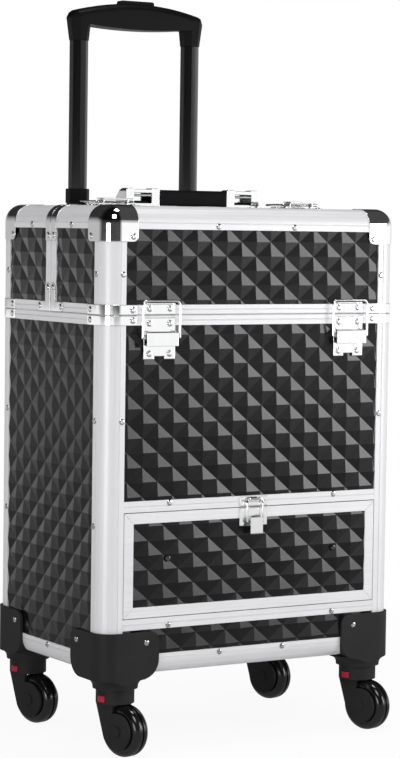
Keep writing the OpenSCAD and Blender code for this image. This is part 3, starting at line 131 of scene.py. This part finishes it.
def noise(tree, where, scale, detail=3.0, rough=0.55):
    """Cloudy noise from about LOW to HIGH."""
    made = add(tree, "ShaderNodeTexNoise",
               {"Scale": scale, "Detail": detail, "Roughness": rough})
    tree.links.new(where, made.inputs["Vector"])
    return made.outputs["Fac"]


def cells(tree, where, scale, feature="F1"):
    """Outputs of a cell pattern."""
    made = add(tree, "ShaderNodeTexVoronoi", {"Scale": scale}, feature=feature)
    tree.links.new(where, made.inputs["Vector"])
    return made.outputs


def spread(tree, value, low, high, start_at=LOW, end_at=HIGH):
    """Maps a value to the numbers from low to high."""
    made = add(tree, "ShaderNodeMapRange",
               {"From Min": start_at, "From Max": end_at, "To Min": low, "To Max": high})
    tree.links.new(value, made.inputs["Value"])
    return made.outputs["Result"]


def tint(tree, value, dark, light, start_at=LOW, end_at=HIGH):
    """Maps a value to the colours from dark to light."""
    ramp = add(tree, "ShaderNodeValToRGB")
    stops = ((start_at, dark), (end_at, light))
    for mark, (at, colour) in zip(ramp.color_ramp.elements, stops):
        mark.position = at
        mark.color = (*colour, 1.0)
    tree.links.new(value, ramp.inputs["Fac"])
    return ramp.outputs["Color"]


def mix(tree, kind, factor, first, second):
    """Numbers (FLOAT) or colours (RGBA): first where factor is 0, second where it is 1."""
    made = add(tree, "ShaderNodeMix", data_type=kind)
    for socket, value in (("Factor", factor), ("A", first), ("B", second)):
        feed(tree, made.inputs[socket], value)
    return made.outputs["Result"]


def math_node(tree, operation, first, second=0.0):
    """The result of one operation on numbers or sockets."""
    made = add(tree, "ShaderNodeMath", operation=operation)
    for socket, value in zip(made.inputs, (first, second)):
        feed(tree, socket, value)
    return made.outputs["Value"]


def rays(tree, *kinds):
    """1 for rays of any of the named kinds, 0 for others."""
    path = add(tree, "ShaderNodeLightPath")
    chosen = path.outputs[kinds[0]]
    for kind in kinds[1:]:
        chosen = math_node(tree, "MAXIMUM", chosen, path.outputs[kind])
    return chosen


def surface(tree, shader, colour, rough, **constants):
    """Links colour and roughness; constants go on the sockets of those names (_ for a space)."""
    tree.links.new(colour, shader.inputs["Base Color"])
    tree.links.new(rough, shader.inputs["Roughness"])
    for socket, value in constants.items():
        shader.inputs[socket.replace("_", " ")].default_value = value


def raise_by(tree, shader, height, strength, depth, edge=0.0):
    """Fine relief from a texture; edge rounds the look of sharp edges by that radius."""
    bump = add(tree, "ShaderNodeBump", {"Strength": strength, "Distance": depth})
    tree.links.new(height, bump.inputs["Height"])
    if edge:
        rounded = add(tree, "ShaderNodeBevel", {"Radius": edge}, samples=ROUNDING_SAMPLES)
        tree.links.new(rounded.outputs["Normal"], bump.inputs["Normal"])
    tree.links.new(bump.outputs["Normal"], shader.inputs["Normal"])


# Materials

def upright_mask(tree):
    """1 on the corner posts of the upper section, 0 on its rails."""
    x, y, z = axes(tree)
    out_x = math_node(tree, "GREATER_THAN", math_node(tree, "ABSOLUTE", x), HALF_W - LEG)
    out_y = math_node(tree, "GREATER_THAN", math_node(tree, "ABSOLUTE", y), HALF_D - LEG)
    below = math_node(tree, "LESS_THAN", z, Z_LID_TOP)
    return math_node(tree, "MULTIPLY", math_node(tree, "MULTIPLY", out_x, out_y), below)


def aluminium(name, grain):
    """Satin anodised profile; grain is upright, level or both."""
    mat, tree, shader = start(name)
    upright = noise(tree, place(tree, (1, 1, DRAWN)), scale=900.0, detail=4.0)
    level = noise(tree, place(tree, (DRAWN, DRAWN, 1)), scale=900.0, detail=4.0)
    if grain == "upright":
        streak = upright
    elif grain == "level":
        streak = level
    else:
        streak = mix(tree, "FLOAT", upright_mask(tree), level, upright)
    cloud = noise(tree, place(tree), scale=14.0, detail=5.0)
    fine = tint(tree, streak, *SATIN_FINE)
    broad = tint(tree, cloud, *SATIN_BROAD, start_at=0.35, end_at=0.65)
    share_of_broad = 0.4
    colour = mix(tree, "RGBA", share_of_broad, fine, broad)
    surface(tree, shader, colour, spread(tree, streak, low=0.34, high=0.50), Metallic=0.22)
    raise_by(tree, shader, streak, strength=0.06, depth=0.0001, edge=0.0006)
    return mat


def panel_black():
    """Embossed black laminate with a fine leather grain."""
    mat, tree, shader = start("embossed_black")
    where = place(tree)
    pores = cells(tree, where, scale=1500.0, feature="SMOOTH_F1")["Distance"]
    soft = noise(tree, where, scale=38.0, detail=4.0)
    surface(tree, shader, tint(tree, soft, *LAMINATE), spread(tree, soft, low=0.18, high=0.24),
            Specular_IOR_Level=0.42)
    raise_by(tree, shader, pores, strength=0.05, depth=0.0002, edge=0.0005)
    return mat


def chrome(name, dark_studs=False):
    """Polished plating with faint wiping marks; studs beside a middle plate can be blackened."""
    mat, tree, shader = start(name)
    wiped = place(tree, scale=(1, 1, 0.1), turn=(0.3, 0.5, 0.2))
    marks = noise(tree, wiped, scale=420.0, detail=5.0)
    cloud = noise(tree, place(tree), scale=60.0, detail=4.0)
    colour = tint(tree, cloud, *PLATING)
    if dark_studs:
        black = tint(tree, cloud, *BLACKENED)
        beside = math_node(tree, "ABSOLUTE", axes(tree)["X"])
        on_stud = math_node(tree, "GREATER_THAN", beside, PLATE_HALF_W)
        colour = mix(tree, "RGBA", on_stud, colour, black)
    surface(tree, shader, colour, spread(tree, marks, low=0.03, high=0.09), Metallic=1.0)
    raise_by(tree, shader, marks, strength=0.02, depth=0.0001, edge=0.0009)
    return mat


def rivet_steel():
    """Small bright heads with a fine grain."""
    mat, tree, shader = start("rivet_steel")
    grain = noise(tree, place(tree), scale=700.0, detail=4.0)
    surface(tree, shader, tint(tree, grain, *STEEL), spread(tree, grain, low=0.06, high=0.13),
            Metallic=1.0)
    return mat


def zinc():
    """Zinc plated sheet with a faint flake pattern."""
    mat, tree, shader = start("zinc_sheet")
    where = place(tree)
    flake = cells(tree, where, scale=130.0)["Color"]
    tone = add(tree, "ShaderNodeSeparateColor")
    tree.links.new(flake, tone.inputs["Color"])
    colour = tint(tree, tone.outputs["Red"], *ZINC, start_at=0.1, end_at=0.9)
    cloud = noise(tree, where, scale=90.0)
    surface(tree, shader, colour, spread(tree, cloud, low=0.28, high=0.42), Metallic=1.0)
    return mat


def tube_black():
    """Black anodised tube with drawing lines along its length."""
    mat, tree, shader = start("black_tube")
    lines = noise(tree, place(tree, (1, 1, DRAWN)), scale=1100.0, detail=4.0)
    surface(tree, shader, tint(tree, lines, *ANODISED), spread(tree, lines, low=0.12, high=0.18),
            Specular_IOR_Level=0.3)
    raise_by(tree, shader, lines, strength=0.05, depth=0.0001)
    return mat


def moulded(name, colours, rough, shine, grain):
    """Moulded plastic with an eroded grain; rough is the lowest and highest roughness."""
    mat, tree, shader = start(name)
    where = place(tree)
    pits = noise(tree, where, scale=grain, detail=2.0, rough=0.7)
    cloud = noise(tree, where, scale=30.0, detail=4.0)
    surface(tree, shader, tint(tree, cloud, *colours), spread(tree, cloud, *rough),
            Specular_IOR_Level=shine)
    raise_by(tree, shader, pits, strength=0.15, depth=0.0002)
    return mat


def wheel_black():
    """Glossy cast tread."""
    mat, tree, shader = start("wheel_gloss")
    where = place(tree)
    cloud = noise(tree, where, scale=55.0, detail=5.0)
    surface(tree, shader, tint(tree, cloud, *TREAD), spread(tree, cloud, low=0.12, high=0.24),
            Coat_Weight=0.4, Coat_Roughness=0.1)
    ripple = noise(tree, where, scale=500.0, detail=2.0)
    raise_by(tree, shader, ripple, strength=0.03, depth=0.0002)
    return mat


def lining():
    """Black board covered with a short felt."""
    mat, tree, shader = start("felt_board")
    where = place(tree)
    fibre = noise(tree, where, scale=1800.0, detail=5.0, rough=0.7)
    cloud = noise(tree, where, scale=25.0, detail=4.0)
    surface(tree, shader, tint(tree, fibre, *FELT), spread(tree, cloud, low=0.75, high=0.95),
            Sheen_Weight=0.25)
    raise_by(tree, shader, fibre, strength=0.35, depth=0.0004)
    return mat


# Dressing the solids

def dress(names, material, edge=0.0):
    """Gives CAD nodes their material and, where edge is given, softened edges."""
    for name in names:
        piece = NODES[name]
        piece.data.materials.clear()
        piece.data.materials.append(material)
        if edge:
            weld = piece.modifiers.new("weld", "WELD")
            weld.merge_threshold = WELD_WITHIN
            bevel = piece.modifiers.new("edge", "BEVEL")
            bevel.width = edge
            bevel.segments = EDGE_SEGMENTS
            bevel.limit_method = "ANGLE"
            bevel.angle_limit = EDGE_ANGLE
            even = piece.modifiers.new("even", "WEIGHTED_NORMAL")
            even.keep_sharp = False


def dress_metal():
    """Frame profiles, rivets, plated fittings and zinc sheet keep their CAD edges."""
    dress(["corner_posts"], aluminium("satin_upright", "upright"))
    dress(["base_frame", "body_rails", "drawer_frame"], aluminium("satin_level", "level"))
    dress(["rear_frame", "lid_frame"], aluminium("satin_ring", "both"))
    dress(["body_rivets", "lid_rivets"], rivet_steel())
    plated = ["body_caps", "latch_plates", "lid_caps", "lid_plates", "handle_housings",
              "drawer_lever", "drawer_bail"]
    plated += [f"{kind}_{piece}_{side}" for kind in ("latch", "clasp")
               for piece in ("lever", "bail") for side in ("left", "right")]
    dress(plated, chrome("polished_chrome"))
    dress(["drawer_plate"], chrome("chrome_and_studs", dark_studs=True))
    dress(["drawer_runners", "drawer_slides", "arm_plates", "lid_arm_plates", "rear_arms",
           "front_arms"], zinc())


def dress_boards():
    """Relief panels keep their CAD edges; the lined boards and trays get fine ones."""
    dress(["front_panel", "side_panels", "back_panel", "rear_panels", "lid_panels",
           "drawer_panel"], panel_black())
    felt = lining()
    dress(["boards", "drawer_box"], felt, FINE_EDGE)
    dress(["lower_tray", "upper_tray"], felt, FINE_EDGE)


def dress_trolley_and_casters():
    """Black tubes, mouldings and wheels."""
    dress(["trolley_tubes", "trolley_inner"], tube_black(), FINE_EDGE)
    black = moulded("black_moulding", BLACK, rough=(0.40, 0.52), shine=0.09, grain=1500.0)
    dress(["trolley_mounts", "trolley_grip", "trolley_button", "carry_grip"], black,
          MOULDED_EDGE)
    grey = moulded("charcoal_moulding", CHARCOAL, rough=(0.50, 0.62), shine=0.25, grain=1400.0)
    dress(["caster_brackets"] + [f"fork_{c}" for c in CORNERS], grey,
          MOULDED_EDGE)
    dress([f"wheel_{c}" for c in CORNERS], wheel_black(), SMALL_EDGE)
    red = moulded("red_moulding", RED, rough=(0.30, 0.42), shine=0.4, grain=1500.0)
    dress([f"button_{c}" for c in CORNERS], red, SMALL_EDGE)


# Studio

def camera():
    """The photo's view, from the eye point and its yaw, pitch and roll."""
    forward = Vector((math.sin(YAW), math.cos(YAW), 0.0))
    right = Vector((math.cos(YAW), -math.sin(YAW), 0.0))
    up = Vector((0.0, 0.0, 1.0))
    look = forward * math.cos(PITCH) - up * math.sin(PITCH)
    top = up * math.cos(PITCH) + forward * math.sin(PITCH)
    across = right * math.cos(ROLL) + top * math.sin(ROLL)
    top = top * math.cos(ROLL) - right * math.sin(ROLL)
    data = bpy.data.cameras.new("camera")
    data.sensor_fit = "VERTICAL"
    data.sensor_height = SENSOR
    data.lens = FOCAL_PX * SENSOR / IMAGE_H
    eye = bpy.data.objects.new("camera", data)
    bpy.context.collection.objects.link(eye)
    eye.matrix_world = Matrix((
        (across.x, top.x, -look.x, EYE.x),
        (across.y, top.y, -look.y, EYE.y),
        (across.z, top.z, -look.z, EYE.z),
        (0.0, 0.0, 0.0, 1.0)))
    bpy.context.scene.camera = eye


def lamp(name, where, size, power):
    """A soft rectangular lamp that faces the middle of the case."""
    data = bpy.data.lights.new(name, "AREA")
    data.shape = "RECTANGLE"
    data.size, data.size_y = size
    data.energy = power
    made = bpy.data.objects.new(name, data)
    bpy.context.collection.objects.link(made)
    made.location = where
    aim = Vector(MIDDLE) - Vector(where)
    made.rotation_euler = aim.to_track_quat("-Z", "Y").to_euler()


def surroundings():
    """White backdrop; glossy surfaces mirror it with a dim ceiling and a dim left front."""
    world = bpy.data.worlds.new("studio")
    world.use_nodes = True
    tree = world.node_tree
    tree.nodes.clear()
    coords = add(tree, "ShaderNodeTexCoord")
    split = add(tree, "ShaderNodeSeparateXYZ")
    tree.links.new(coords.outputs["Generated"], split.inputs["Vector"])
    above = spread(tree, split.outputs["Z"], 1.0, CEILING, *CEILING_SPAN)
    front = spread(tree, split.outputs["X"], ROOM_LEFT, ROOM_RIGHT, *ROOM_SPAN)
    around = spread(tree, split.outputs["Y"], 0.0, BACKDROP, *BACKDROP_SPAN)
    tree.links.new(front, around.node.inputs["To Min"])
    mirrored = math_node(tree, "MULTIPLY", above, around)
    bounced = mix(tree, "FLOAT", rays(tree, "Is Glossy Ray"), FILL, mirrored)
    direct = rays(tree, "Is Camera Ray", "Is Transmission Ray")
    sky = add(tree, "ShaderNodeBackground", {"Color": WHITE})
    out = add(tree, "ShaderNodeOutputWorld")
    tree.links.new(mix(tree, "FLOAT", direct, bounced, 1.0), sky.inputs["Strength"])
    tree.links.new(sky.outputs["Background"], out.inputs["Surface"])
    bpy.context.scene.world = world


def floor():
    """Pale floor that keeps the shadow near the case and fades into the backdrop."""
    bpy.ops.mesh.primitive_plane_add(size=FLOOR_SIZE)
    plane = bpy.context.object
    plane.name = "floor"
    mat, tree, shader = start("pale_floor")
    speck = noise(tree, place(tree), scale=6.0, detail=2.0)
    tree.links.new(tint(tree, speck, *PALE), shader.inputs["Base Color"])
    shader.inputs["Roughness"].default_value = 0.9
    shader.inputs["Specular IOR Level"].default_value = 0.1
    away = add(tree, "ShaderNodeVectorMath", operation="LENGTH")
    tree.links.new(place(tree), away.inputs[0])
    distance = away.outputs["Value"]
    fade = spread(tree, distance, FLOOR_NEAR, FLOOR_FAR, *FADE_SPAN)
    near = spread(tree, axes(tree)["X"], MIRRORED_LEFT, MIRRORED_RIGHT, *SIDE_SPAN)
    mirrored = spread(tree, distance, 0.0, MIRRORED_FAR, *FAR_SPAN)
    tree.links.new(near, mirrored.node.inputs["To Min"])
    strength = mix(tree, "FLOAT", rays(tree, "Is Glossy Ray"), 1.0, mirrored)
    glow = add(tree, "ShaderNodeEmission", {"Color": WHITE})
    tree.links.new(strength, glow.inputs["Strength"])
    seen = rays(tree, "Is Camera Ray", "Is Glossy Ray", "Is Transmission Ray")
    either = add(tree, "ShaderNodeMixShader")
    tree.links.new(math_node(tree, "MULTIPLY", seen, fade), either.inputs[0])
    tree.links.new(shader.outputs["BSDF"], either.inputs[1])
    tree.links.new(glow.outputs["Emission"], either.inputs[2])
    tree.links.new(either.outputs["Shader"], tree.nodes["Material Output"].inputs["Surface"])
    plane.data.materials.append(mat)


def studio():
    """View transform, camera, backdrop, floor and lamps."""
    bpy.context.scene.view_settings.view_transform = "Standard"
    camera()
    surroundings()
    floor()
    for name, where, size, power in LAMPS:
        lamp(name, where, size, power)


dress_metal()
dress_boards()
dress_trolley_and_casters()
studio()
